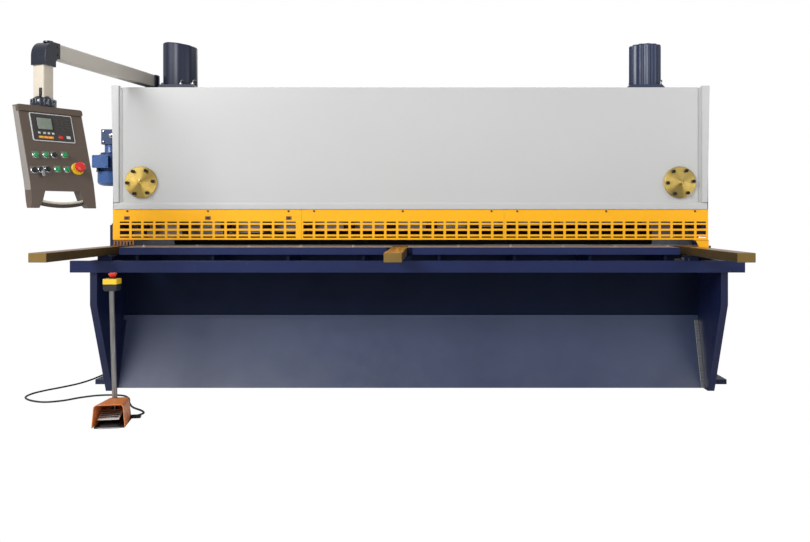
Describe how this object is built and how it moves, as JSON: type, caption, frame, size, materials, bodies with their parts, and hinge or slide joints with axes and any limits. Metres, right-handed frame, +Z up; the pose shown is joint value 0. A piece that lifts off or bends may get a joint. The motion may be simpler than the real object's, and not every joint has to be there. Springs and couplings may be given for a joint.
{
  "type": "hydraulic guillotine shear",
  "caption": "Floor-standing hydraulic guillotine shear with raked blade, perforated guard, hold-down row, support arms, swinging control pendant and foot switch.",
  "frame": {"origin": "centre of the rectangle of four anchor holes, at floor level", "axes": "+X along the blades, to the operator's right; +Y to the back; +Z up"},
  "size_m": [4.8237, 2.62, 2.4913],
  "materials": {
    "navy_paint": "semi-gloss navy enamel",
    "panel_paint": "glossy warm grey-white enamel",
    "guard_paint": "orange-yellow powder coat",
    "arm_paint": "gold-ochre enamel",
    "brass_disc": "turned, brushed in circles",
    "bright_steel": "ground steel",
    "table_steel": "machined steel plate",
    "blue_paint": "blue enamel",
    "ram_paint": "dark grey primer",
    "galvanised": "zinc-plated",
    "boom_paint": "light beige powder coat",
    "elbow_gloss": "dark blue-black gloss",
    "pendant_paint": "brown powder coat",
    "display_glass": "black screen and frame",
    "black_plastic": "moulded",
    "stop_red": "red mushroom head",
    "grey_paint": "grey enamel",
    "cord_rubber": "black sheath"
  },
  "bodies": {
    "frame": {"left_side_frame": "navy_paint", "right_side_frame": "navy_paint", "foot_plates": "navy_paint", "left_front_post": "panel_paint", "right_front_post": "panel_paint", "front_panel": "panel_paint", "left_guide_cover": "brass_disc", "right_guide_cover": "brass_disc", "guard_left": "guard_paint", "guard_centre": "guard_paint", "guard_right": "guard_paint", "guard_ends": "guard_paint", "hold_down_beam": "ram_paint", "bed": "table_steel", "table_front_bar": "blue_paint", "lower_blade": "bright_steel", "table_rail": "navy_paint", "lower_apron": "navy_paint", "left_support_arm": "arm_paint", "middle_support_arm": "arm_paint", "right_support_arm": "arm_paint", "cylinder_seats": "navy_paint", "left_cylinder": "navy_paint", "right_cylinder": "navy_paint", "guide_rails": "bright_steel", "rear_beam": "navy_paint", "oil_tank": "navy_paint", "pump_motor": "navy_paint", "pressure_pipes": "galvanised", "rear_tie": "navy_paint", "chute": "galvanised", "gap_gearbox": "blue_paint", "gap_motor": "blue_paint", "electric_cabinet": "navy_paint", "cabinet_gland": "black_plastic", "boom_base": "navy_paint", "foot_switch_base": "black_plastic", "foot_switch_hood": "guard_paint", "stop_stand": "grey_paint", "foot_cord": "cord_rubber"},
    "ram": {"ram": "ram_paint", "ram_ribs": "ram_paint", "upper_blade": "bright_steel", "piston_rods": "bright_steel", "gauge_rails": "bright_steel", "gauge_screws": "bright_steel", "gauge_bar": "ram_paint"},
    "hold_downs": {"hold_down_feet": "bright_steel"},
    "boom": {"boom": "boom_paint", "boom_elbow": "elbow_gloss", "drop_tube": "boom_paint"},
    "pendant": {"pendant_housing": "pendant_paint", "pendant_display": "display_glass", "pendant_handle": "boom_paint", "pendant_controls": "black_plastic"},
    "pendant_stop": {"pendant_stop_button": "stop_red"},
    "stand_stop": {"stand_stop_button": "stop_red"},
    "pedal": {"foot_pedal": "grey_paint"}
  },
  "joints": [
    {"name": "ram_stroke", "type": "slide", "parent": "frame", "child": "ram", "axis": [0, 0, -1], "range_m": [0, 0.17]},
    {"name": "hold_down_stroke", "type": "slide", "parent": "frame", "child": "hold_downs", "axis": [0, 0, -1], "range_m": [0, 0.03]},
    {"name": "boom_swing", "type": "hinge", "parent": "frame", "child": "boom", "pos_m": [-1.92, -0.4, 2.18], "axis": [0, 0, 1], "range_deg": [-75, 12]},
    {"name": "pendant_swivel", "type": "hinge", "parent": "boom", "child": "pendant", "pos_m": [-2.15605, -1.56023, 1.915], "axis": [0, 0, 1], "range_deg": [-90, 90]},
    {"name": "pendant_stop_press", "type": "slide", "parent": "pendant", "child": "pendant_stop", "axis": [-0.7009, 0.6769, -0.225], "range_m": [0, 0.004], "stiffness_N_per_m": 1500},
    {"name": "stand_stop_press", "type": "slide", "parent": "frame", "child": "stand_stop", "axis": [0, 0, -1], "range_m": [0, 0.004], "stiffness_N_per_m": 1500},
    {"name": "pedal_press", "type": "hinge", "parent": "frame", "child": "pedal", "pos_m": [-1.665, -1.64, 0.046], "axis": [1, 0, 0], "range_deg": [0, 12], "stiffness_Nm_per_rad": 60}
  ]
}
